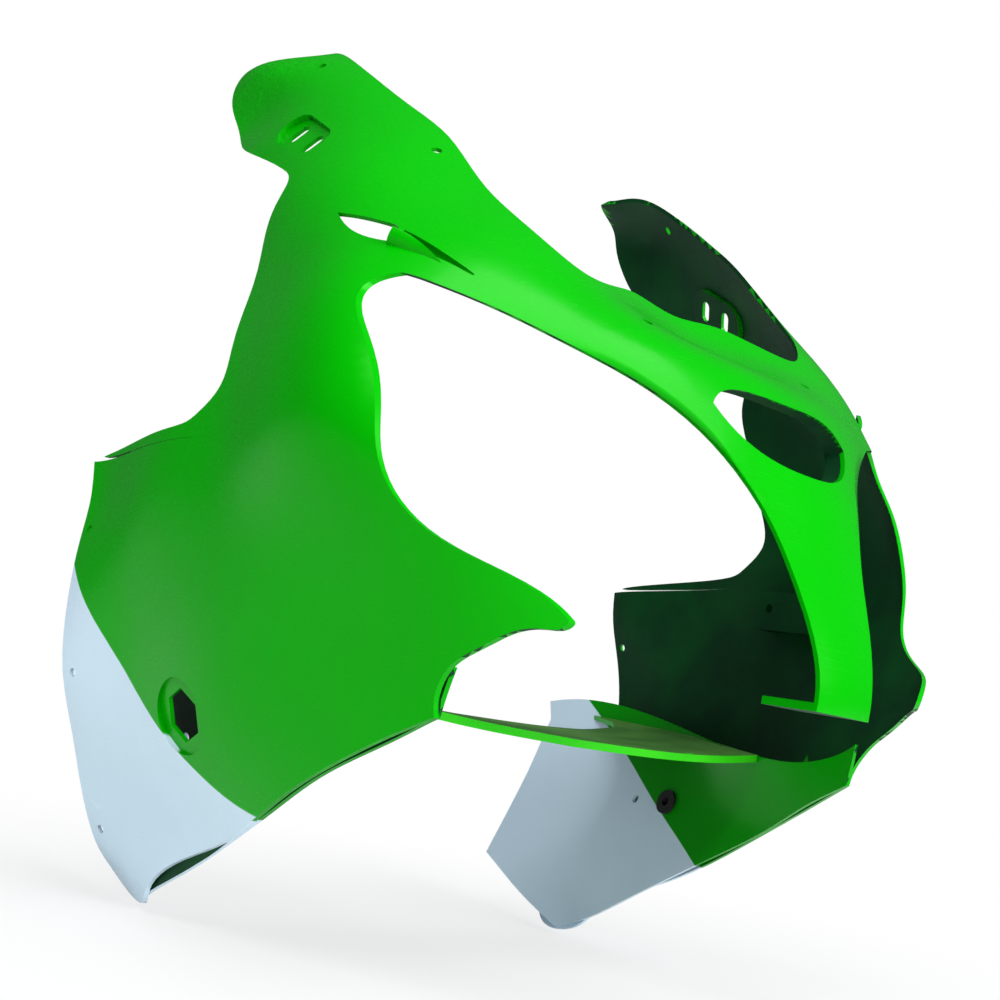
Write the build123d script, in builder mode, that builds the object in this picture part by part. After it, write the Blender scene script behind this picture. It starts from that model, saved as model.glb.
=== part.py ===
"""Front upper fairing of a sport motorcycle: a nose cowl with two mirror lobes, two lamp openings,
a centre strut, an air intake, double-walled lower flanks and a chin shelf between them.

Millimetres. X runs across the bike, -Y points forward and +Z up. The origin is under the foot of
the centre strut, on the middle plane.
"""
import os

from build123d import *

# Walls
shell_wall = 2.5
skin_wall = 2.6
shelf_wall = 3.0
bracket_wall = 3.0

# Reach of the tail ends of the surface and of the cutting outlines
tail_reach = 520.0
cut_reach = 300.0

# Centre strut and its foot
strut_half_width = 19.0
foot_length = 42.0
foot_thickness = 4.0
foot_tip_half_width = 13.0

# Air intake in the nose, seen from the front
intake_half_width = 51.0
intake_tip_z = 144.0
intake_top_z = 156.0
intake_bottom_z = 117.0

# Mirror mounts on the lobes, placed by (back, up)
mirror_pad_at = (321.0, 292.0)
mirror_pad_length = 56.0
mirror_pad_width = 27.0
mirror_pad_depth = 4.0
mirror_slot_pitch = 25.0
mirror_slot_length = 16.0
mirror_slot_width = 8.5

# Turn signal hole in each flank
signal_at = (284.0, -63.0)
signal_hole_across = 27.0
signal_dish_r = 22.0
signal_dish_depth = 3.5

# Slit below each lobe, and the groove that runs forward from it to a point, placed by (back, up)
slit_at = (206.0, 209.0)
groove_rear_at = (184.0, 205.2)
groove_tip_at = (147.0, 188.0)
groove_rear_r = 6.9
groove_tip_r = 0.8

# Fastener holes, placed by (back, up)
screen_hole_d = 6.5
screen_holes = [(238.0, 282.0), (368.0, 360.0)]
brow_hole_at = (63.0, 188.0)
panel_hole_d = 5.5
panel_holes = [(414.0, 35.0), (395.0, -53.0), (391.0, -143.0)]
skin_hole_d = 6.0
skin_hole_at = (318.0, -76.0)

# Rubber well nut in each inner skin
nut_at = (283.0, -73.0)
nut_body_d = 11.0
nut_fit = 0.15
nut_flange_d = 17.0
nut_flange_thickness = 2.5
nut_body_length = 12.0
nut_bore_d = 6.0

# Chin shelf
shelf_front_y = 187.0
shelf_back_y = 312.0
shelf_lip_height = 4.5
shelf_notch_x = 98.0
shelf_notch_y = shelf_front_y + 2 * shelf_wall
shelf_notch_width = 8.0
shelf_notch_depth = 3.0
shelf_arch = [
    (0, -36.5), (60, -35.5), (100, -33.5), (130, -30.5), (152, -27.5), (170, -25.5), (187, -23.5), (202, -21.5),
]
shelf_edge = [(152.5, 187), (166, 225), (185, 278), (191, 320), (194.5, 382), (194.5, 400)]

# Bracket inside each flank
bracket_front_y = 201.0
bracket_back_y = 249.0
bracket_bottom_z = 58.0
bracket_height = 27.0
bracket_x = 198.0
bracket_leg_reach = 40.0
bracket_hole_d = 6.0
bracket_hole_at = (240.0, 73.0)

# Level sections of the outer surface, from the bottom up. Each has a height and then points from
# the nose centre line round to the tail, as (out from the middle plane, back from the strut).
levels = [
    (-190, [(0, 20), (45, 28), (92, 58), (130, 110), (148, 180), (150, 290), (152, 370), (154, tail_reach)]),
    (-150, [(0, 17), (45, 25), (94, 54), (133, 103), (154, 175), (166, 290), (185, 400), (190, tail_reach)]),
    (-110, [(0, 14), (45, 22), (95, 50), (135, 98), (158, 170), (179, 290), (203, 404), (208, tail_reach)]),
    (-50, [(0, 8), (45, 15), (95, 38), (131, 77), (158, 130), (173, 168), (207, 290), (222, 406), (227, tail_reach)]),
    (-14, [(0, 3), (40, 9), (90, 31), (126, 62), (151, 107), (181, 165), (214, 290), (227, 408), (230, tail_reach)]),
    (20, [(0, 0), (38, 6), (88, 26), (131, 53), (184, 137), (219, 290), (229, 415), (230, tail_reach)]),
    (60, [(0, 14), (38, 18), (90, 34), (148, 60), (191, 118), (222, 290), (230, 430), (230, tail_reach)]),
    (100, [(0, 35), (40, 38), (86, 60), (140, 88), (204, 133), (224, 290), (229, 410), (229, tail_reach)]),
    (135, [(0, 50), (42, 57), (76, 73), (140, 108), (208, 150), (221, 285), (226, 400), (225, tail_reach)]),
    (155, [(0, 60), (45, 69), (99, 95), (140, 119), (207, 160), (216, 285), (219, 400), (218, tail_reach)]),
    (180, [(0, 102), (45, 103), (95, 112), (140, 133), (201, 176), (210, 290), (211, 400), (210, tail_reach)]),
    (215, [(0, 165), (45, 160), (88, 143), (140, 165), (192, 208), (203, 298), (200, tail_reach)]),
    (258, [(0, 193), (50, 193), (95, 196), (140, 212), (181, 250), (196, 300), (194, tail_reach)]),
    (303, [(0, 238), (50, 238), (95, 244), (128, 257), (165, 293), (184, 345), (189, tail_reach)]),
    (345, [(0, 290), (52, 291), (100, 298), (142, 322), (166, 358), (180, 415), (184, tail_reach)]),
    (375, [(0, 330), (52, 331), (100, 340), (136, 362), (156, 400), (168, 449), (171, tail_reach)]),
    (392, [(0, 353), (52, 354), (97, 362), (121, 382), (136, 412), (144, 440), (147, tail_reach)]),
    (410, [(0, 380), (50, 381), (92, 389), (110, 402), (121, 422), (128, 450), (130, tail_reach)]),
]

# Level sections of the right inner skin's outer surface, as (out from the middle plane, back)
skin_levels = [
    (-200, [(150, 90), (154, 180), (158, 300), (158, 369), (156, 480)]),
    (-178, [(150, 90), (158, 190), (164, 300), (167, 345), (163, 372), (159, 480)]),
    (-143, [(146, 90), (157, 190), (165, 290), (170, 345), (167, 400), (162, 480)]),
    (-110, [(143, 90), (157, 180), (166, 245), (173, 382), (173, 480)]),
    (-80, [(142, 90), (156, 140), (167, 195), (175, 285), (181, 382), (182, 480)]),
    (-50, [(143, 90), (155, 137), (163, 188), (182, 278), (190, 382), (190, 480)]),
    (-28, [(143, 90), (151, 125), (154, 188), (186, 278), (196, 382), (196, 480)]),
    (5, [(140, 90), (149, 125), (156, 188), (190, 278), (201, 382), (202, 480)]),
]
shell_grid = (16, 14)
skin_grid = (8, 7)


def even_points(points, steps):
    """Points at equal distances along the smooth curve through the given ones."""
    curve = Spline(*points, mode=Mode.PRIVATE)
    places = [curve.length * i / steps for i in range(steps + 1)]
    return [curve.position_at(place, position_mode=PositionMode.LENGTH) for place in places]


def surface_through(sections, grid):
    """A smooth face through level sections, by a grid of (steps along, steps up) points."""
    along, up = grid
    rows = [even_points(section, along) for section in sections]
    columns = [even_points(list(column), up) for column in zip(*rows)]
    return Face.make_surface_from_array_of_points([list(row) for row in zip(*columns)])


def seat(face, at, x_dir=(0, 1, 0)):
    """A plane on the right side of a face, at a place given in side view, that looks outward."""
    hits = face.find_intersection_points(Axis((0, *at), (1, 0, 0)))
    point, normal = max(hits, key=lambda hit: hit[0].X)
    return Plane(origin=point, x_dir=x_dir, z_dir=normal if normal.X > 0 else -normal)


def largest(part):
    """The largest solid of a part, without the offcuts."""
    return part.solids().sort_by(SortBy.VOLUME)[-1]


def both_sides(part):
    """The solids of a right-hand part and of its mirror image."""
    return part.solids() + mirror(part, about=Plane.YZ).solids()


whole_levels = [
    [(-x, y, z) for x, y in reversed(half[1:])] + [(x, y, z) for x, y in half] for z, half in levels
]
outer_face = surface_through(whole_levels, shell_grid)
skin_face = surface_through([[(x, y, z) for x, y in row] for z, row in skin_levels], skin_grid)

whole_wall = thicken(outer_face, amount=shell_wall)
deep_skin = thicken(outer_face, amount=4 * shell_wall)

# Side view outline of the lobe, neck, flank and bottom edge
with BuildPart() as side_form:
    with BuildSketch(Plane.YZ):
        with BuildLine():
            lobe = Spline(
                (416, 388.5), (431, 384), (449, 375), (452.5, 366), (447, 346), (430, 325), (398, 299),
                (362, 283), (326, 269), (306, 260),
            )
            neck = Spline(
                lobe @ 1, (296, 250), (300, 229), (293, 195), (279, 147), (275, 121), (291, 105),
                (332, 94), (390, 83), (434, 78.5), tangents=(lobe % 1, (1, -0.08)),
            )
            rear = Spline(
                neck @ 1, (430, 60), (415, 5), (407, -50), (405, -99), (401, -146), (392, -170),
                (371, -179.5), (343, -168),
            )
            bottom = Spline(
                rear @ 1, (267, -125), (205, -88), (152, -56.5), (110, -34),
                tangents=(rear % 1, (-1, 0.5)),
            )
            Polyline(bottom @ 1, (60, -80), (-60, -80), (-60, 388.5), lobe @ 0)
        make_face()
    extrude(amount=cut_reach, both=True)

# Plan view outline of the windscreen edge
with BuildPart() as screen_cut:
    with BuildSketch(Plane.XY.offset(185)):
        with BuildLine():
            right = Spline(
                (0, 165), (38, 162), (84, 146), (103, 162), (121, 203), (125, 250), (135, 290),
                (142, 335), (142, 380), (139, 418), (136, 470), tangents=((1, 0), (0, 1)),
            )
            mirror(right, about=Plane.YZ)
            Line(right @ 1, (-(right @ 1).X, (right @ 1).Y))
        make_face()
    extrude(amount=cut_reach)

# Side view of the flank edge behind each lamp opening, down to the tip and round the scoop below,
# less the front view of what stays between the openings: the strut and the brow above it
brow_edge = [(38, 96), (57, 124), (83, 144), (116, 159), (148, 171), (175, 178), (206, 181)]
strut_edge = [(strut_half_width, 0), (20, 24), (24, 50), (30, 76), (38, 96)]
with BuildPart() as lamp_cut:
    with BuildSketch(Plane.YZ):
        with BuildLine():
            behind_lamp = Spline(
                (158, 184), (168, 172), (153, 142), (132, 96), (122, 66), (106, 50.5), (81, 39),
                (60, 28), (53.5, 20),
            )
            tip = Spline(behind_lamp @ 1, (55, 16), (66, 13), tangents=(behind_lamp % 1, (1, -0.3)))
            scoop = Spline(tip @ 1, (85, 2), (103, -11), (112, -28), (112, -40), tangents=(tip % 1, (0, -1)))
            Polyline(scoop @ 1, (112, -90), (-60, -90), (-60, 184), behind_lamp @ 0)
        make_face()
    extrude(amount=cut_reach, both=True)
    with BuildSketch(Plane.XZ):
        with BuildLine():
            right_strut = Spline(*strut_edge)
            right_brow = Spline(*brow_edge, tangents=(right_strut % 1, (1, 0)))
            right_rest = Polyline(right_brow @ 1, (cut_reach, 181), (cut_reach, -100), (0, -100))
            mirror(right_strut, about=Plane.YZ)
            mirror(right_brow, about=Plane.YZ)
            mirror(right_rest, about=Plane.YZ)
            Line((strut_half_width, 0), (-strut_half_width, 0))
        make_face()
    extrude(amount=cut_reach, both=True, mode=Mode.INTERSECT)

# Leaf-shaped air intake
with BuildPart() as intake_cut:
    with BuildSketch(Plane.XZ.offset(-100)) as intake_outline:
        with BuildLine():
            upper = Spline(
                (-intake_half_width, intake_tip_z), (0, intake_top_z), (intake_half_width, intake_tip_z),
                tangents=((0.5, 1), (0.5, -1)),
            )
            Spline(
                upper @ 1, (0, intake_bottom_z), upper @ 0, tangents=((-0.5, -1), (-0.5, 1)),
            )
        make_face()
    extrude(amount=160)

# Slit below the lobe, square to the wall, and the tapered groove in front of it
with BuildPart() as slit_cut:
    with BuildSketch(seat(outer_face, slit_at, (0, -0.95, -0.3))):
        with BuildLine():
            slit_top = Line((-25.6, -2), (12, -15.5))
            slit_front = ThreePointArc(slit_top @ 1, (21.5, -12.5), (24, -4))
            Spline(slit_front @ 1, (6.3, 2.6), (-11, 2), slit_top @ 0)
        make_face()
    extrude(amount=5 * shell_wall, both=True)
groove_rear = seat(outer_face, groove_rear_at).origin
groove_run = seat(outer_face, groove_tip_at).origin - groove_rear
groove_axis = Plane(origin=groove_rear, z_dir=groove_run)
with BuildPart(groove_axis) as groove_cut:
    Cone(groove_rear_r, groove_tip_r, groove_run.length, align=(Align.CENTER, Align.CENTER, Align.MIN))
with BuildPart(groove_axis) as groove_back:
    Cone(
        groove_rear_r + shell_wall, groove_tip_r + shell_wall, groove_run.length,
        align=(Align.CENTER, Align.CENTER, Align.MIN),
    )
    add(deep_skin, mode=Mode.INTERSECT)

# Dished pad for the mirror stalk, with its backing, recess and two slots
pad_seat = seat(outer_face, mirror_pad_at, (0, -0.887, -0.461))
pad_floor = pad_seat.offset(-mirror_pad_depth)
with BuildPart() as pad_back:
    with BuildSketch(pad_floor.offset(-shell_wall)):
        SlotOverall(mirror_pad_length + 2 * shell_wall, mirror_pad_width + 2 * shell_wall)
    extrude(amount=mirror_pad_depth + 6 * shell_wall)
    add(deep_skin, mode=Mode.INTERSECT)
with BuildPart() as pad_cut:
    with BuildSketch(pad_floor):
        SlotOverall(mirror_pad_length, mirror_pad_width)
    extrude(amount=8 * mirror_pad_depth)
    with BuildSketch(pad_floor):
        with Locations((mirror_slot_pitch / 2, 0), (-mirror_slot_pitch / 2, 0)):
            SlotOverall(mirror_slot_length, mirror_slot_width, rotation=90)
    extrude(amount=-6 * shell_wall)

# Shallow dish with the six-sided hole of the turn signal
signal_seat = seat(outer_face, signal_at, (0, 0, 1))
signal_floor = signal_seat.offset(-signal_dish_depth)
with BuildPart() as signal_back:
    with BuildSketch(signal_floor.offset(-shell_wall)):
        Circle(signal_dish_r + shell_wall)
    extrude(amount=signal_dish_depth + 6 * shell_wall)
    add(deep_skin, mode=Mode.INTERSECT)
with BuildPart() as signal_cut:
    with BuildSketch(signal_floor):
        Circle(signal_dish_r)
    extrude(amount=8 * signal_dish_depth)
    with BuildSketch(signal_floor):
        RegularPolygon(signal_hole_across / 2, 6, major_radius=False)
    extrude(amount=-6 * shell_wall)

# Screws of the windscreen and of the panels behind
brow_hits = outer_face.find_intersection_points(Axis((brow_hole_at[0], 0, brow_hole_at[1]), (0, 1, 0)))
brow_point, brow_normal = min(brow_hits, key=lambda hit: hit[0].Y)
with BuildPart() as fastener_holes:
    for hole_at in screen_holes:
        with BuildSketch(seat(outer_face, hole_at)):
            Circle(screen_hole_d / 2)
        extrude(amount=5 * shell_wall, both=True)
    with BuildSketch(Plane(origin=brow_point, z_dir=brow_normal)):
        Circle(screen_hole_d / 2)
    extrude(amount=5 * shell_wall, both=True)
    for hole_at in panel_holes:
        with BuildSketch(seat(outer_face, hole_at)):
            Circle(panel_hole_d / 2)
        extrude(amount=5 * shell_wall, both=True)

# Moulded outer shell: every opening of the right half, then that half and its mirror image
with BuildPart() as shell:
    add(whole_wall)
    add(side_form.part, mode=Mode.INTERSECT)
    add(screen_cut.part, mode=Mode.SUBTRACT)
    add(lamp_cut.part, mode=Mode.SUBTRACT)
    add(intake_cut.part, mode=Mode.SUBTRACT)
    for backing in (pad_back, signal_back):
        add(backing.part)
    for cutter in (pad_cut, signal_cut, fastener_holes):
        add(cutter.part, mode=Mode.SUBTRACT)
    add(groove_back.part)
    for cutter in (groove_cut, slit_cut):
        add(cutter.part, mode=Mode.SUBTRACT)
    with BuildSketch(Plane.XY):
        with BuildLine():
            foot_side = Polyline(
                (0, foot_length), (foot_tip_half_width - 3, foot_length),
                (foot_tip_half_width, foot_length - 3), (strut_half_width, 0), (0, 0),
            )
            mirror(foot_side, about=Plane.YZ)
        make_face()
    extrude(amount=foot_thickness)
    split(bisect_by=Plane.YZ, keep=Keep.TOP)
    mirror(about=Plane.YZ)

# Right inner skin: painted on the face that looks at the middle, joined to the shell along the
# bottom edge and the scoop
with BuildPart() as skin_form:
    with BuildSketch(Plane.YZ):
        with BuildLine():
            skin_top = Spline(
                (108, -10), (126, -20), (145, -26), (188, -28), (278, -22), (382, -11), (458, -18),
            )
            skin_rear = Polyline(skin_top @ 1, (449, -32), (452, -77), (460, -143), (365, -178.5))
            skin_bottom = Spline(
                skin_rear @ 1, (343, -168), (267, -125), (205, -88), (152, -56.5), (112, -35),
            )
            Line(skin_bottom @ 1, skin_top @ 0)
        make_face()
    extrude(amount=cut_reach)
skin_nut_seat = seat(skin_face, nut_at)
with BuildPart() as skin:
    thicken(skin_face, amount=skin_wall)
    add(skin_form.part, mode=Mode.INTERSECT)
    add(whole_wall, mode=Mode.SUBTRACT)
    with BuildSketch(seat(skin_face, skin_hole_at)):
        Circle(skin_hole_d / 2)
    extrude(amount=5 * skin_wall, both=True, mode=Mode.SUBTRACT)
    with BuildSketch(skin_nut_seat):
        Circle(nut_body_d / 2 + nut_fit)
    extrude(amount=5 * skin_wall, both=True, mode=Mode.SUBTRACT)


# Rubber well nut in the right inner skin
nut_seat = skin_nut_seat.offset(-skin_wall - nut_fit)
with BuildPart() as nut:
    with BuildSketch(nut_seat):
        Circle(nut_flange_d / 2)
    extrude(amount=-nut_flange_thickness)
    with BuildSketch(nut_seat):
        Circle(nut_body_d / 2)
    extrude(amount=nut_body_length)
    with BuildSketch(nut_seat.offset(-nut_flange_thickness)):
        Circle(nut_bore_d / 2)
    extrude(amount=nut_body_length, mode=Mode.SUBTRACT)

# Right bracket: a plate that stands off the flank on two legs
with BuildPart() as bracket:
    with BuildSketch(Plane.XY.offset(bracket_bottom_z)):
        with Locations((bracket_x, (bracket_front_y + bracket_back_y) / 2)):
            Rectangle(
                bracket_wall, bracket_back_y - bracket_front_y, align=(Align.MIN, Align.CENTER)
            )
        with Locations((bracket_x, bracket_front_y)):
            Rectangle(bracket_leg_reach, bracket_wall, align=(Align.MIN, Align.MIN))
        with Locations((bracket_x, bracket_back_y)):
            Rectangle(bracket_leg_reach, bracket_wall, align=(Align.MIN, Align.MAX))
    extrude(amount=bracket_height)
    with BuildSketch(Plane.YZ.offset(bracket_x)):
        with Locations(bracket_hole_at):
            Circle(bracket_hole_d / 2)
    extrude(amount=2 * bracket_wall, both=True, mode=Mode.SUBTRACT)
    add(shell.part, mode=Mode.SUBTRACT)

# Chin shelf between the inner skins: a shallow arch with a lip along its front edge
with BuildPart() as shelf_form:
    with BuildSketch(Plane.XY.offset(-100)):
        with BuildLine():
            shelf_side = Spline(*shelf_edge)
            shelf_rear = Polyline(shelf_side @ 1, (175, 355), (150, 325), (110, shelf_back_y), (0, shelf_back_y))
            shelf_front = Line((0, shelf_front_y), shelf_side @ 0)
            mirror(shelf_side, about=Plane.YZ)
            mirror(shelf_rear, about=Plane.YZ)
            mirror(shelf_front, about=Plane.YZ)
        make_face()
    extrude(amount=120)
with BuildPart() as shelf:
    for depth, reach in ((shelf_wall, cut_reach), (shelf_lip_height, shelf_wall)):
        with BuildSketch(Plane.XZ.offset(-shelf_front_y)):
            with BuildLine():
                over = Spline(*shelf_arch)
                under = Spline(*[(x, z - depth) for x, z in shelf_arch])
                side = Line(over @ 1, under @ 1)
                mirror(over, about=Plane.YZ)
                mirror(under, about=Plane.YZ)
                mirror(side, about=Plane.YZ)
            make_face()
        extrude(amount=-reach)
    add(shelf_form.part, mode=Mode.INTERSECT)
    for skin_solid in both_sides(skin.part):
        add(skin_solid, mode=Mode.SUBTRACT)
    with BuildSketch(Plane.XY.offset(-100)):
        with Locations((shelf_notch_x, shelf_notch_y), (-shelf_notch_x, shelf_notch_y)):
            Rectangle(shelf_notch_width, shelf_notch_depth)
    extrude(amount=120, mode=Mode.SUBTRACT)

pieces = {
    "fairing_shell": largest(shell.part),
    "chin_shelf": largest(shelf.part),
    "inner_skin_right": largest(skin.part),
    "inner_skin_left": mirror(largest(skin.part), about=Plane.YZ),
    "well_nut_right": nut.part,
    "well_nut_left": mirror(nut.part, about=Plane.YZ),
    "mount_plate_right": largest(bracket.part),
    "mount_plate_left": mirror(largest(bracket.part), about=Plane.YZ),
}
os.makedirs("parts", exist_ok=True)
for name, piece in pieces.items():
    piece.label = name
    export_step(piece, f"parts/{name}.step")
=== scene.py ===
"""Looks of a painted motorcycle cowl: gloss paint, raw moulding, rubber and a plain studio.

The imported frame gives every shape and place. Each class dresses one kind of piece, each finish is
one small class, and `main` builds them in order. Lengths are metres in the frame's own axes: X
across the bike, -Y forward, +Z up.
"""

import logging
import math
from dataclasses import dataclass
from enum import Enum
from typing import Optional, Sequence, Union

import bmesh
import bpy
from mathutils import Matrix, Vector
from mathutils.bvhtree import BVHTree


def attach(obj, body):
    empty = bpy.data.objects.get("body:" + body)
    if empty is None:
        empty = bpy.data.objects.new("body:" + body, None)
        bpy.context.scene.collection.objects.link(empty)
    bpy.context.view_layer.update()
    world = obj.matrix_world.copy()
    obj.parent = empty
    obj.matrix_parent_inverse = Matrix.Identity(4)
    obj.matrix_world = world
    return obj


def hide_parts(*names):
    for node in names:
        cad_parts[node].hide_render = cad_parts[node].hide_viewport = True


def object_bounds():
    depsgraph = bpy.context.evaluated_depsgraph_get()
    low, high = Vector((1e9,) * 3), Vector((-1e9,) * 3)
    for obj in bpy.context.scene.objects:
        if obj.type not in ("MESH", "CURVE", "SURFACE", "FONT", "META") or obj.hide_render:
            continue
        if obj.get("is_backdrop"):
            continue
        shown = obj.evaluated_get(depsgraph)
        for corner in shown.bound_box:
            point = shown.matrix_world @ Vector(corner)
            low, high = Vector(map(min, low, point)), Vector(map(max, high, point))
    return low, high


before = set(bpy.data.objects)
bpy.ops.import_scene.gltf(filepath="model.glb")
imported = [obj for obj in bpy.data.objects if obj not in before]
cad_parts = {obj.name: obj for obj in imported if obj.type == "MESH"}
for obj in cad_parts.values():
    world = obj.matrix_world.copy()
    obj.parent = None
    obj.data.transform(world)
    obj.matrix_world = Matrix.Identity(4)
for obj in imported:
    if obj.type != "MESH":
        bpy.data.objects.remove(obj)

log = logging.getLogger("fairing")

Number = Union[int, float]
Colour = tuple[float, float, float]
MM = 0.001


class Side(Enum):
    """Which way a polygon of a thin moulding looks."""

    OUTER = 0
    INNER = 1
    EDGE = 2
    LINING = 3


class Noise(Enum):
    """Named grains of the noise textures, as cycles per metre."""

    ORANGE_PEEL = 420.0
    GRAIN = 1600.0
    MOTTLE = 9.0
    CLOUD = 22.0
    SPECKLE = 520.0


# Shader values


class Value:
    """One number in a shader graph, with arithmetic that adds Math nodes.

    Args:
        graph: The graph that the number belongs to.
        socket: The output socket that carries it.
    """

    def __init__(self, graph: "Graph", socket: bpy.types.NodeSocket) -> None:
        self.graph = graph
        self.socket = socket

    def _math(self, operation: str, *others: "Operand", first: Optional["Operand"] = None) -> "Value":
        """Adds one Math node.

        Args:
            operation: The node's operation name.
            others: What follows this value among the inputs.
            first: What comes before this value, for the reflected operators.

        Returns:
            The node's result.
        """
        inputs = [self, *others] if first is None else [first, self, *others]
        node = self.graph.add("ShaderNodeMath", {"operation": operation}, dict(enumerate(inputs)))
        return Value(self.graph, node.outputs[0])

    def __add__(self, other: "Operand") -> "Value":
        return self._math("ADD", other)

    __radd__ = __add__

    def __sub__(self, other: "Operand") -> "Value":
        return self._math("SUBTRACT", other)

    def __rsub__(self, other: "Operand") -> "Value":
        return self._math("SUBTRACT", first=other)

    def __mul__(self, other: "Operand") -> "Value":
        return self._math("MULTIPLY", other)

    __rmul__ = __mul__

    def __abs__(self) -> "Value":
        return self._math("ABSOLUTE")

    def root(self) -> "Value":
        """Returns the square root."""
        return self._math("SQRT")

    def least(self, other: "Operand") -> "Value":
        """Returns the smaller of two numbers.

        Args:
            other: The number to compare with.
        """
        return self._math("MINIMUM", other)

    def most(self, other: "Operand") -> "Value":
        """Returns the larger of two numbers.

        Args:
            other: The number to compare with.
        """
        return self._math("MAXIMUM", other)

    def ramp(self, low: float, high: float) -> "Value":
        """Returns a smooth 0 to 1 step.

        Args:
            low: Where the step begins.
            high: Where it ends; below `low`, the step falls.
        """
        node = self.graph.add(
            "ShaderNodeMapRange",
            {"interpolation_type": "SMOOTHSTEP"},
            {"Value": self, "From Min": min(low, high), "From Max": max(low, high)},
        )
        step = Value(self.graph, node.outputs["Result"])
        return step if low <= high else 1.0 - step


Operand = Union[Value, Number]


class Tint:
    """One colour or vector in a shader graph, with arithmetic through Mix and Vector Math nodes.

    Args:
        graph: The graph that the colour belongs to.
        socket: The output socket that carries it.
    """

    def __init__(self, graph: "Graph", socket: bpy.types.NodeSocket) -> None:
        self.graph = graph
        self.socket = socket

    def _vector(self, operation: str, **inputs: object) -> "Tint":
        """Adds one Vector Math node with this value first.

        Args:
            operation: The node's operation name.
            inputs: The other inputs, as `second` or `scale`.

        Returns:
            The node's result.
        """
        values: dict[object, object] = {0: self}
        if "second" in inputs:
            values[1] = inputs["second"]
        if "scale" in inputs:
            values["Scale"] = inputs["scale"]
        node = self.graph.add("ShaderNodeVectorMath", {"operation": operation}, values)
        return Tint(self.graph, node.outputs[0])

    def __mul__(self, other: Union["TintOperand", Operand]) -> "Tint":
        if isinstance(other, (Value, int, float)):
            return self._vector("SCALE", scale=other)
        return self._vector("MULTIPLY", second=other)

    __rmul__ = __mul__

    def mixed(self, other: "TintOperand", factor: Operand) -> "Tint":
        """Blends towards another colour.

        Args:
            other: The colour at factor 1.
            factor: How much of it.

        Returns:
            The blend.
        """
        node = self.graph.add(
            "ShaderNodeMix",
            {"data_type": "RGBA"},
            {"Factor": factor, "A_Color": self, "B_Color": other},
        )
        return Tint(self.graph, self.graph.output(node, "Result_Color"))


TintOperand = Union[Tint, Colour]


class Shader:
    """One shader in a graph, on its way to the output.

    Args:
        graph: The graph that the shader belongs to.
        socket: The output socket that carries it.
    """

    def __init__(self, graph: "Graph", socket: bpy.types.NodeSocket) -> None:
        self.graph = graph
        self.socket = socket

    def blended(self, other: "Shader", factor: Operand) -> "Shader":
        """Blends towards another shader.

        Args:
            other: The shader at factor 1.
            factor: How much of it.

        Returns:
            The blend.
        """
        node = self.graph.add("ShaderNodeMixShader", None, {0: factor, 1: self, 2: other})
        return Shader(self.graph, node.outputs[0])


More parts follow.
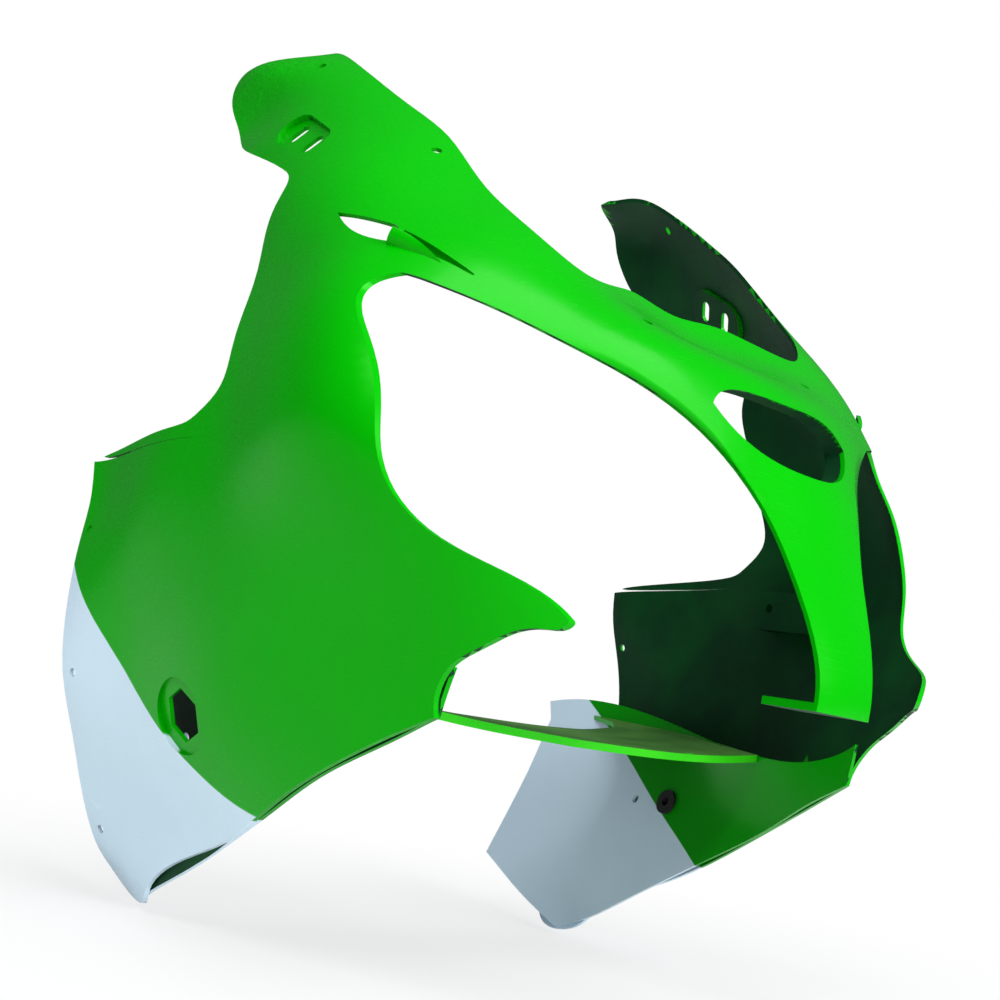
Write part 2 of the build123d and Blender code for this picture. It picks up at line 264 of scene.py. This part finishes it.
class Graph:
    """The node tree of a material or a world, emptied, with its output node.

    Args:
        owner: The material or the world to write.
        end: The output node's type.
    """

    def __init__(
        self, owner: Union[bpy.types.Material, bpy.types.World], end: str = "ShaderNodeOutputMaterial"
    ) -> None:
        owner.use_nodes = True
        self.tree = owner.node_tree
        self.tree.nodes.clear()
        self.end = self.tree.nodes.new(end)

    @staticmethod
    def _input(node: bpy.types.Node, key: object) -> bpy.types.NodeSocket:
        """Finds an input by number, by name, or by identifier where a name repeats."""
        if isinstance(key, int):
            return node.inputs[key]
        for socket in node.inputs:
            if socket.identifier == key:
                return socket
        return node.inputs[key]

    @staticmethod
    def output(node: bpy.types.Node, key: str) -> bpy.types.NodeSocket:
        """Finds an output by its identifier.

        Args:
            node: The node to look in.
            key: The socket's identifier.

        Returns:
            The socket.
        """
        return next(socket for socket in node.outputs if socket.identifier == key)

    def add(
        self, kind: str, settings: Optional[dict] = None, inputs: Optional[dict] = None
    ) -> bpy.types.Node:
        """Adds one node.

        Args:
            kind: The node's type.
            settings: Its own properties, by name.
            inputs: Constants, values or colours for its inputs.

        Returns:
            The node.
        """
        node = self.tree.nodes.new(kind)
        for name, setting in (settings or {}).items():
            setattr(node, name, setting)
        for key, given in (inputs or {}).items():
            socket = self._input(node, key)
            if isinstance(given, (Value, Tint, Shader)):
                self.tree.links.new(given.socket, socket)
            elif isinstance(given, tuple) and socket.type == "RGBA":
                socket.default_value = (*given, 1.0)
            else:
                socket.default_value = given
        return node

    def colour(self, colour: Colour) -> Tint:
        """Adds a constant colour.

        Args:
            colour: Its red, green and blue.

        Returns:
            The colour.
        """
        node = self.add("ShaderNodeRGB")
        node.outputs[0].default_value = (*colour, 1.0)
        return Tint(self, node.outputs[0])

    def place(self) -> Tint:
        """Returns the position in the frame's axes."""
        return Tint(self, self.add("ShaderNodeTexCoord").outputs["Object"])

    def axes(self) -> tuple[Value, Value, Value]:
        """Returns the position's X, Y and Z."""
        node = self.add("ShaderNodeSeparateXYZ", None, {0: self.place()})
        x, y, z = (Value(self, socket) for socket in node.outputs)
        return x, y, z

    def noise(self, grain: Noise, detail: float = 2.0, stretch: Colour = (1.0, 1.0, 1.0)) -> Value:
        """Adds a noise texture in the frame's axes.

        Args:
            grain: How fine it is.
            detail: How many octaves.
            stretch: A factor for each axis.

        Returns:
            The noise, from 0 to 1.
        """
        node = self.add(
            "ShaderNodeTexNoise",
            {"noise_dimensions": "3D"},
            {"Vector": self.place() * stretch, "Scale": grain.value, "Detail": detail},
        )
        return Value(self, node.outputs[0])

    def bump(self, height: Value, depth: float) -> Tint:
        """Turns a height into a normal.

        Args:
            height: The height, from 0 to 1.
            depth: What 1 stands for, in metres.

        Returns:
            The normal.
        """
        node = self.add("ShaderNodeBump", None, {"Height": height, "Distance": depth, "Strength": 1.0})
        return Tint(self, node.outputs[0])

    def curve(self, along: Value, points: Sequence[tuple[float, float]]) -> Value:
        """Looks a number up on a smooth curve.

        Args:
            along: Where on the curve, from 0 to 1.
            points: The curve's points, each from 0 to 1, in order.

        Returns:
            The curve's height there.
        """
        node = self.add("ShaderNodeFloatCurve", None, {"Value": along})
        line = node.mapping.curves[0]
        line.points[0].location = points[0]
        line.points[1].location = points[-1]
        for point in points[1:-1]:
            line.points.new(*point)
        node.mapping.update()
        return Value(self, node.outputs[0])

    def seen(self, by: str = "Is Camera Ray") -> Value:
        """Returns 1 for one kind of ray and 0 for all others.

        Args:
            by: The light path's output.

        Returns:
            The number.
        """
        return Value(self, self.add("ShaderNodeLightPath").outputs[by])

    def glow(self, colour: Colour, strength: float, kind: str = "ShaderNodeEmission") -> Shader:
        """Adds a shader that gives off light.

        Args:
            colour: The light's colour.
            strength: How strong it is.
            kind: The node's type.

        Returns:
            The shader.
        """
        node = self.add(kind, None, {"Color": colour, "Strength": strength})
        return Shader(self, node.outputs[0])

    def principled(self, **inputs: object) -> Shader:
        """Adds a Principled shader.

        Args:
            inputs: Its inputs, with `_` for each space in a name.

        Returns:
            The shader.
        """
        named = {name.replace("_", " "): given for name, given in inputs.items()}
        return Shader(self, self.add("ShaderNodeBsdfPrincipled", None, named).outputs[0])

    def close(self, shader: Shader) -> None:
        """Ends the graph with a shader.

        Args:
            shader: The shader that is shown.
        """
        self.tree.links.new(shader.socket, self.end.inputs["Surface"])

    def surface(self, **inputs: object) -> None:
        """Ends the graph with a Principled shader.

        Args:
            inputs: Its inputs, with `_` for each space in a name.
        """
        self.close(self.principled(**inputs))


# Finishes


@dataclass(frozen=True)
class PaintSplit:
    """The line between the green paint and the pale corner, in side view.

    Far back it rises along a slope, and in front it levels out at a floor height.
    """

    floor_z: float
    knee_y: float
    knee_round: float
    slope: float
    softness: float = 0.5 * MM

    def pale(self, graph: Graph) -> Value:
        """Returns 1 on the pale side of the line and 0 on the green side.

        Args:
            graph: The graph to add the line to.
        """
        _, y, z = graph.axes()
        run = y - self.knee_y
        line = (run + (run * run + self.knee_round**2).root()) * (self.slope / 2) + self.floor_z
        return (line - z).ramp(-self.softness, self.softness)


@dataclass(frozen=True)
class Crease:
    """The turned-in edge of the brow below its crease, from a front view of the edge.

    The edge is listed as distance from the middle and height, both in metres.
    """

    edge: tuple[tuple[float, float], ...] = (
        (0.0, 0.070), (0.038, 0.096), (0.057, 0.124), (0.083, 0.144), (0.116, 0.159), (0.148, 0.171),
        (0.175, 0.178), (0.206, 0.181), (0.250, 0.182),
    )
    reach: float = 0.250
    steepness: float = 0.80
    width: float = 5.0 * MM
    drop: float = 2.6 * MM
    most_turn: float = 2.0
    back_fade: tuple[float, float] = (0.128, 0.078)
    foot_fade: tuple[float, float] = (0.085, 0.110)

    def depth(self, graph: Graph) -> Value:
        """Returns how far the edge is turned in, from 0 at the crease to 1 at the edge.

        Args:
            graph: The graph to add it to.
        """
        x, y, z = graph.axes()
        points = [(away / self.reach, height / self.reach) for away, height in self.edge]
        line = graph.curve(abs(x) * (1.0 / self.reach), points) * self.reach
        above = (z - line) * self.steepness
        turned = (1.0 - above * (1.0 / self.width)).most(0.0).least(self.most_turn)
        return turned * y.ramp(*self.back_fade) * z.ramp(*self.foot_fade)


@dataclass(frozen=True)
class GlossPaint:
    """Two-colour gloss paint with orange peel, fine scratches, thin dust, a grainy lobe end and painted
    shade on the turned-in brow edge.
    """

    name: str
    green: Colour
    pale: Colour
    split: PaintSplit
    crease: Crease = Crease()
    roughness: float = 0.20
    peel_depth: float = 0.010 * MM
    grain_above: tuple[float, float] = (0.300, 0.345)
    grain_behind: tuple[float, float] = (0.33, 0.41)
    grain_shade: float = 1.1
    grain_roughness: float = 0.2
    crease_shade: float = 0.12
    scratch_level: tuple[float, float] = (0.68, 0.74)
    scratch_stretch: Colour = (0.05, 0.6, 4.0)

    def material(self) -> bpy.types.Material:
        """Returns the material."""
        made = bpy.data.materials.new(self.name)
        graph = Graph(made)
        _, y, z = graph.axes()
        cloud = graph.noise(Noise.CLOUD, detail=3.0)
        mottle = graph.noise(Noise.MOTTLE, detail=2.0)
        scratch = graph.noise(Noise.ORANGE_PEEL, detail=1.0, stretch=self.scratch_stretch)
        scratch = scratch.ramp(*self.scratch_level)
        speckle = graph.noise(Noise.SPECKLE, detail=2.0)
        lobe_end = z.ramp(*self.grain_above) * y.ramp(*self.grain_behind)
        turned = self.crease.depth(graph)
        grain = (speckle - 0.5) * lobe_end * self.grain_shade
        # Mottle and the lobe end's grain are the paint's own tone; the crease term darkens the turned-in
        # brow edge as painted shade.
        shade = mottle * 0.20 + 0.90 + grain - turned * self.crease_shade
        green = graph.colour(self.green) * shade
        pale = graph.colour(self.pale) * (cloud * 0.08 + 0.96)
        peel = graph.noise(Noise.ORANGE_PEEL, detail=2.0) * self.peel_depth
        graph.surface(
            Base_Color=green.mixed(pale, self.split.pale(graph)),
            Roughness=cloud * 0.10 + scratch * 0.12 + lobe_end * self.grain_roughness + self.roughness,
            Specular_Tint=(0.16, 1.0, 0.12),
            Specular_IOR_Level=0.35,
            Coat_Weight=0.04,
            Coat_Roughness=0.05,
            IOR=1.45,
            Normal=graph.bump(peel - turned * turned * self.crease.drop, 1.0),
        )
        return made


@dataclass(frozen=True)
class RawMoulding:
    """Unpainted moulded plastic, dark, with paint mist that drifted in from the edges."""

    name: str
    dark: Colour
    mist: Colour
    mist_amount: float
    roughness: float = 0.48
    mist_level: tuple[float, float] = (0.30, 0.80)
    grain_depth: float = 0.02 * MM

    def material(self) -> bpy.types.Material:
        """Returns the material."""
        made = bpy.data.materials.new(self.name)
        graph = Graph(made)
        cloud = graph.noise(Noise.CLOUD, detail=4.0)
        speckle = graph.noise(Noise.SPECKLE, detail=2.0)
        drift = cloud.ramp(*self.mist_level) * (speckle * 0.4 + 0.8) * self.mist_amount
        graph.surface(
            Base_Color=graph.colour(self.dark).mixed(self.mist, drift.least(1.0)),
            Roughness=speckle * 0.14 + self.roughness,
            Specular_Tint=(0.25, 1.0, 0.5),
            Specular_IOR_Level=0.3,
            IOR=1.45,
            Normal=graph.bump(graph.noise(Noise.GRAIN, detail=2.0), self.grain_depth),
        )
        return made


@dataclass(frozen=True)
class Rubber:
    """Matt black rubber with a fine grain."""

    name: str
    colour: Colour = (0.012, 0.012, 0.013)
    roughness: float = 0.72
    grain_depth: float = 0.03 * MM

    def material(self) -> bpy.types.Material:
        """Returns the material."""
        made = bpy.data.materials.new(self.name)
        graph = Graph(made)
        grain = graph.noise(Noise.GRAIN, detail=3.0)
        graph.surface(
            Base_Color=self.colour,
            Roughness=grain * 0.12 + self.roughness,
            Normal=graph.bump(grain, self.grain_depth),
        )
        return made


# Pieces

SMOOTH_ANGLE = math.radians(32)


def finished(name: str, mesh: bpy.types.Mesh) -> bpy.types.Object:
    """Puts a mesh into the scene as a smooth-shaded piece that rides the cowl.

    Args:
        name: The piece's name.
        mesh: Its mesh.

    Returns:
        The piece.
    """
    for polygon in mesh.polygons:
        polygon.use_smooth = True
    mesh.set_sharp_from_angle(angle=SMOOTH_ANGLE)
    piece = bpy.data.objects.new(name, mesh)
    bpy.context.scene.collection.objects.link(piece)
    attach(piece, "root")
    log.info("%s: %d polygons", name, len(mesh.polygons))
    return piece


def lofted(
    name: str, rings: Sequence[Sequence[Vector]], closed: bool, finish: bpy.types.Material
) -> bpy.types.Object:
    """Makes a closed form through a row of outlines.

    Args:
        name: The piece's name.
        rings: The outlines, all with the same number of corners.
        closed: Whether the last outline joins the first. If not, both ends are capped.
        finish: The piece's material.

    Returns:
        The piece.
    """
    around = len(rings[0])
    corners = [corner for ring in rings for corner in ring]
    faces = []
    for step in range(len(rings) if closed else len(rings) - 1):
        near, ahead = step * around, (step + 1) % len(rings) * around
        for at in range(around):
            following = (at + 1) % around
            faces.append((near + at, near + following, ahead + following, ahead + at))
    if not closed:
        faces.append(tuple(range(around)))
        faces.append(tuple(range(len(corners) - around, len(corners))))
    mesh = bpy.data.meshes.new(name)
    mesh.from_pydata(corners, [], faces)
    work = bmesh.new()
    work.from_mesh(mesh)
    bmesh.ops.recalc_face_normals(work, faces=work.faces)
    work.to_mesh(mesh)
    work.free()
    mesh.materials.append(finish)
    return finished(name, mesh)


@dataclass(frozen=True)
class Wall:
    """The thickness range that tells a moulding's two faces from its cut edges."""

    thinnest: float = 1.5 * MM
    thickest: float = 4.6 * MM
    inset: float = 0.02 * MM


class Moulding:
    """A thin moulded node, shown through a smooth-shaded copy with a finish for each side.

    Args:
        node: The frame's node.
        slot: The record's material slot; not used.
        finishes: The material of each side.
        spine_lift: How far behind and below a face the middle of the cowl is taken to be.
        wall: The wall's thickness range.
    """

    weld = 0.005 * MM

    def __init__(
        self,
        node: str,
        slot: str,
        finishes: dict[Side, bpy.types.Material],
        spine_lift: Vector = Vector((0.0, 0.15, -0.10)),
        wall: Wall = Wall(),
    ) -> None:
        self.node = node
        self.slot = slot
        self.finishes = finishes
        self.spine_lift = spine_lift
        self.wall = wall

    def _outward(self, centre: Vector) -> Vector:
        """Returns the way out of the cowl at a point."""
        inside = Vector((0.0, centre.y, centre.z)) + self.spine_lift
        return (centre - inside).normalized()

    def _side(self, tree: BVHTree, centre: Vector, normal: Vector) -> Side:
        """Returns which side of the moulding a polygon belongs to.

        Args:
            tree: The whole mesh.
            centre: The polygon's centre.
            normal: The polygon's normal.

        Returns:
            The side.
        """
        _, _, _, depth = tree.ray_cast(centre - normal * self.wall.inset, -normal)
        if depth is None or not self.wall.thinnest < depth < self.wall.thickest:
            return Side.EDGE
        return Side.OUTER if normal.dot(self._outward(centre)) > 0 else Side.INNER

    def build(self) -> bpy.types.Object:
        """Makes the dressed copy.

        Returns:
            The object that stands for the node.
        """
        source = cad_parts[self.node]
        mesh = source.data.copy()
        work = bmesh.new()
        work.from_mesh(mesh)
        bmesh.ops.remove_doubles(work, verts=work.verts, dist=self.weld)
        work.to_mesh(mesh)
        tree = BVHTree.FromBMesh(work)
        work.free()
        mesh.materials.clear()
        for side in Side:
            mesh.materials.append(self.finishes.get(side, self.finishes[Side.INNER]))
        for polygon in mesh.polygons:
            polygon.material_index = self._side(tree, polygon.center, polygon.normal).value
        if "custom_normal" in mesh.attributes:
            mesh.attributes.remove(mesh.attributes["custom_normal"])
        piece = finished(f"{self.node}_skin", mesh)
        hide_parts(self.node)
        return piece


class Shell(Moulding):
    """The outer shell, which is painted inside too below the chin shelf."""

    lining_top = -0.031

    def _side(self, tree: BVHTree, centre: Vector, normal: Vector) -> Side:
        """Returns the side, with the lower part of the inside as lining."""
        side = super()._side(tree, centre, normal)
        return Side.LINING if side is Side.INNER and centre.z < self.lining_top else side


class Shelf(Moulding):
    """A flat moulding, whose top, underside and lip follow from where a polygon looks."""

    flat_enough = 0.6

    def _side(self, tree: BVHTree, centre: Vector, normal: Vector) -> Side:
        """Returns the top as outer, the underside as inner and the lip as edge."""
        if abs(normal.z) < self.flat_enough:
            return Side.EDGE
        return Side.OUTER if normal.z > 0 else Side.INNER


@dataclass(frozen=True)
class IntakeCollar:
    """The short wall that runs back from the rim of the air intake.

    The rim is found on the shell itself, by looking through the intake from the front.
    """

    centre: tuple[float, float] = (0.0, 0.1375)
    reach: float = 0.062
    steps: int = 120
    start: float = 2.0 * MM
    depth: float = 12.0 * MM
    wall: float = 1.8 * MM
    gap: float = 0.1 * MM
    onto_rim: float = 0.2 * MM
    halvings: int = 16
    front_y: float = -0.05
    search_length: float = 0.16

    def _solid(self, tree: BVHTree, x: float, z: float) -> Optional[float]:
        """Returns where the shell begins behind a point of the front view, or None in the intake."""
        start = Vector((x, self.front_y, z))
        hit, _, _, _ = tree.ray_cast(start, Vector((0.0, 1.0, 0.0)), self.search_length)
        return None if hit is None else hit.y

    def _rim(self, tree: BVHTree) -> list[tuple[Vector, Vector]]:
        """Returns the rim's points and the way out from the intake at each."""
        rim: list[tuple[Vector, Vector]] = []
        for step in range(self.steps):
            angle = 2 * math.pi * step / self.steps
            way = Vector((math.cos(angle), 0.0, math.sin(angle)))
            inside, outside = 0.0, self.reach
            for _ in range(self.halvings):
                middle = (inside + outside) / 2
                x, z = self.centre[0] + way.x * middle, self.centre[1] + way.z * middle
                if self._solid(tree, x, z) is None:
                    inside = middle
                else:
                    outside = middle
            at = outside + self.onto_rim
            x, z = self.centre[0] + way.x * at, self.centre[1] + way.z * at
            rim.append((Vector((x, self._solid(tree, x, z), z)), way))
        return rim

    def build(self, shell: bpy.types.Object, finish: bpy.types.Material) -> bpy.types.Object:
        """Makes the collar behind the shell's rim.

        Args:
            shell: The dressed shell.
            finish: The collar's material.

        Returns:
            The collar.
        """
        work = bmesh.new()
        work.from_mesh(shell.data)
        tree = BVHTree.FromBMesh(work)
        work.free()
        rings = []
        for point, way in self._rim(tree):
            front = point + Vector((0.0, self.start, 0.0))
            rear = front + Vector((0.0, self.depth, 0.0))
            face, back = way * self.gap, way * self.wall
            rings.append([front + face, rear + face, rear + back, front + back])
        return lofted("intake_collar", rings, True, finish)


@dataclass(frozen=True)
class GrooveFloor:
    """The thin floor of the tapered groove ahead of a slit.

    The groove is a cone, whose axis on the right side runs from the slit to the groove's tip.
    """

    rear: Vector = Vector((0.18271, 0.184, 0.2052))
    tip: Vector = Vector((0.15512, 0.147, 0.188))
    outward: Vector = Vector((0.58, -0.52, 0.63))
    rear_radius: float = 6.9 * MM
    tip_radius: float = 0.8 * MM
    begin: float = 0.05
    steps: int = 24
    half_turn: float = math.radians(80)
    gap: float = 0.05 * MM
    wall: float = 1.4 * MM

    def _ring(self, share: float, side: float) -> list[Vector]:
        """Returns the floor's outline square to the axis, at a share of the way to the tip."""
        run = self.tip - self.rear
        inward = (run * (self.outward.dot(run) / run.length_squared) - self.outward).normalized()
        across = run.normalized().cross(inward)
        middle = self.rear + run * share
        radius = self.rear_radius + (self.tip_radius - self.rear_radius) * share
        face, back = [], []
        for turn in range(self.steps + 1):
            angle = self.half_turn * (2 * turn / self.steps - 1)
            way = inward * math.cos(angle) + across * math.sin(angle)
            face.append(middle + way * (radius + self.gap))
            back.append(middle + way * (radius + self.wall))
        return [Vector((corner.x * side, corner.y, corner.z)) for corner in face + back[::-1]]

    def build(self, name: str, side: float, finish: bpy.types.Material) -> bpy.types.Object:
        """Makes the floor of one side.

        Args:
            name: The piece's name.
            side: 1 for the right side and -1 for the left one.
            finish: The floor's material.

        Returns:
            The floor.
        """
        shares = [self.begin + (1.0 - self.begin) * step / self.steps for step in range(self.steps + 1)]
        return lofted(name, [self._ring(share, side) for share in shares], False, finish)


class SmallPiece:
    """A node that keeps its mesh and takes one finish.

    Args:
        node: The frame's node.
        finish: Its material.
    """

    def __init__(self, node: str, finish: bpy.types.Material) -> None:
        self.node = node
        self.finish = finish

    def build(self) -> bpy.types.Object:
        """Puts the finish on the node.

        Returns:
            The node's object.
        """
        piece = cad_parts[self.node]
        piece.data.materials.clear()
        piece.data.materials.append(self.finish)
        log.info("%s: %d polygons", piece.name, len(piece.data.polygons))
        return piece


# Studio


@dataclass(frozen=True)
class Shot:
    """The camera's place and bearings in the frame's axes."""

    place: Vector = Vector((-0.53184, -0.43875, -0.01709))
    right: Vector = Vector((0.7857, -0.5916, 0.1809))
    up: Vector = Vector((-0.2244, 0.0, 0.9745))
    back: Vector = Vector((-0.5765, -0.8062, -0.1328))
    lens_mm: float = 50.4
    sensor_mm: float = 36.0

    def build(self) -> bpy.types.Object:
        """Makes the camera and gives it to the scene.

        Returns:
            The camera.
        """
        data = bpy.data.cameras.new("camera")
        data.lens = self.lens_mm
        data.sensor_width = self.sensor_mm
        data.clip_start = 0.01
        data.clip_end = 50.0
        camera = bpy.data.objects.new("camera", data)
        turn = Matrix((self.right, self.up, self.back)).transposed()
        camera.matrix_world = Matrix.Translation(self.place) @ turn.to_4x4()
        bpy.context.scene.collection.objects.link(camera)
        bpy.context.scene.camera = camera
        return camera


@dataclass(frozen=True)
class Softbox:
    """A square area light that looks at a point."""

    name: str
    place: Vector
    width: float
    watts: float
    target: Vector = Vector((0.0, 0.2, 0.1))

    def build(self) -> bpy.types.Object:
        """Makes the light.

        Returns:
            The light.
        """
        data = bpy.data.lights.new(self.name, "AREA")
        data.size = self.width
        data.energy = self.watts
        light = bpy.data.objects.new(self.name, data)
        light.location = self.place
        light.rotation_euler = (self.target - self.place).to_track_quat("-Z", "Y").to_euler()
        bpy.context.scene.collection.objects.link(light)
        light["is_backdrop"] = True
        return light


@dataclass(frozen=True)
class Studio:
    """A plain pale floor that runs out into a white surround, and soft lights."""

    floor_drop: float = 0.004
    floor_width: float = 60.0
    floor_colour: Colour = (0.75, 0.75, 0.75)
    floor_fade: tuple[float, float] = (0.25, 0.9)
    floor_white: float = 0.65
    surround: Colour = (0.86, 0.95, 0.97)
    surround_strength: float = 0.40
    mirrored_strength: float = 0.10
    white: Colour = (1.0, 1.0, 1.0)
    softboxes: tuple[Softbox, ...] = (
        Softbox("key", Vector((0.7, -2.6, 1.3)), 1.6, 105.0),
        Softbox("top", Vector((-0.2, -0.9, 2.6)), 1.6, 36.0),
        Softbox("side", Vector((-1.7, -1.1, 1.9)), 0.9, 34.0),
    )

    def _floor(self, lowest: float) -> None:
        """Makes the floor below a height."""
        half = self.floor_width / 2
        height = lowest - self.floor_drop
        square = [(-half, -half), (half, -half), (half, half), (-half, half)]
        mesh = bpy.data.meshes.new("floor")
        mesh.from_pydata([(x, y, height) for x, y in square], [], [(0, 1, 2, 3)])
        floor = bpy.data.objects.new("floor", mesh)
        material = bpy.data.materials.new("floor")
        graph = Graph(material)
        x, y, _ = graph.axes()
        away = (x * x + y * y).root().ramp(*self.floor_fade)
        matt = graph.principled(Base_Color=self.floor_colour, Roughness=0.9)
        whiteness = away * (1.0 - self.floor_white) + self.floor_white
        graph.close(matt.blended(graph.glow(self.white, 1.0), whiteness * graph.seen()))
        mesh.materials.append(material)
        bpy.context.scene.collection.objects.link(floor)
        floor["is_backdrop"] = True

    def _surround(self) -> None:
        """Makes the world white to the camera and soft for everything else."""
        world = bpy.data.worlds.new("surround")
        bpy.context.scene.world = world
        graph = Graph(world, "ShaderNodeOutputWorld")
        soft = graph.glow(self.surround, self.surround_strength, "ShaderNodeBackground")
        dim = graph.glow(self.surround, self.mirrored_strength, "ShaderNodeBackground")
        white = graph.glow(self.white, 1.0, "ShaderNodeBackground")
        graph.close(soft.blended(dim, graph.seen("Is Glossy Ray")).blended(white, graph.seen()))

    def build(self, lowest: float) -> None:
        """Makes floor, surround and lights.

        Args:
            lowest: The object's lowest height.
        """
        self._floor(lowest)
        self._surround()
        for softbox in self.softboxes:
            softbox.build()
        bpy.context.scene.view_settings.view_transform = "Standard"


def mouldings() -> list[Moulding]:
    """Returns the painted and raw mouldings with their finishes."""
    green: Colour = (0.0004, 0.34, 0.0004)
    pale: Colour = (0.66, 0.80, 0.94)
    outer_split = PaintSplit(floor_z=-0.110, knee_y=0.262, knee_round=0.030, slope=0.78)
    inner_split = PaintSplit(floor_z=-0.190, knee_y=0.087, knee_round=0.010, slope=0.55)
    paint = GlossPaint("paint_outside", green, pale, outer_split).material()
    # Painted shade: the inner skins and the lining carry the outside's green paint, drawn darker here for
    # the shade they sit in.
    painted_shade_green: Colour = (0.0004, 0.28, 0.0004)
    skin_paint = GlossPaint("paint_inside", painted_shade_green, pale, inner_split, roughness=0.26).material()
    raw = RawMoulding("raw_inside", (0.002, 0.030, 0.009), (0.001, 0.085, 0.008), 0.5).material()
    # The shelf's top is raw plastic, drawn lighter than its raw underside: partly real paint mist, partly
    # painted light from above.
    shelf = RawMoulding("shelf_top_mist_and_painted_light", (0.05, 0.16, 0.03), (0.12, 0.30, 0.06), 0.7).material()
    lip = RawMoulding("shelf_edge", (0.02, 0.42, 0.004), (0.05, 0.50, 0.01), 0.5, roughness=0.3).material()
    painted = {Side.OUTER: paint, Side.INNER: raw, Side.EDGE: paint, Side.LINING: skin_paint}
    found = [
        Shell("fairing_shell", "paint_green", painted),
        Shelf("chin_shelf", "raw_plastic", {Side.OUTER: shelf, Side.INNER: raw, Side.EDGE: lip}),
    ]
    for name in ("inner_skin_left", "inner_skin_right"):
        sides = {Side.OUTER: raw, Side.INNER: skin_paint, Side.EDGE: skin_paint}
        found.append(Moulding(name, "paint_inner", sides))
    for name in ("mount_plate_left", "mount_plate_right"):
        found.append(Moulding(name, "raw_plastic", {side: raw for side in Side}))
    return found


def main() -> None:
    """Dresses the frame, then sets the studio and the camera."""
    logging.basicConfig(level=logging.INFO, format="%(name)s: %(message)s")
    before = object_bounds()
    built = {moulding.node: moulding.build() for moulding in mouldings()}
    shell = built["fairing_shell"]
    IntakeCollar().build(shell, shell.data.materials[Side.INNER.value])
    for name, side in (("groove_floor_right", 1.0), ("groove_floor_left", -1.0)):
        GrooveFloor().build(name, side, shell.data.materials[Side.OUTER.value])
    rubber = Rubber("nut_rubber").material()
    for name in ("well_nut_left", "well_nut_right"):
        SmallPiece(name, rubber).build()
    Studio().build(before[0].z)
    Shot().build()


if __name__ == "__main__":
    main()
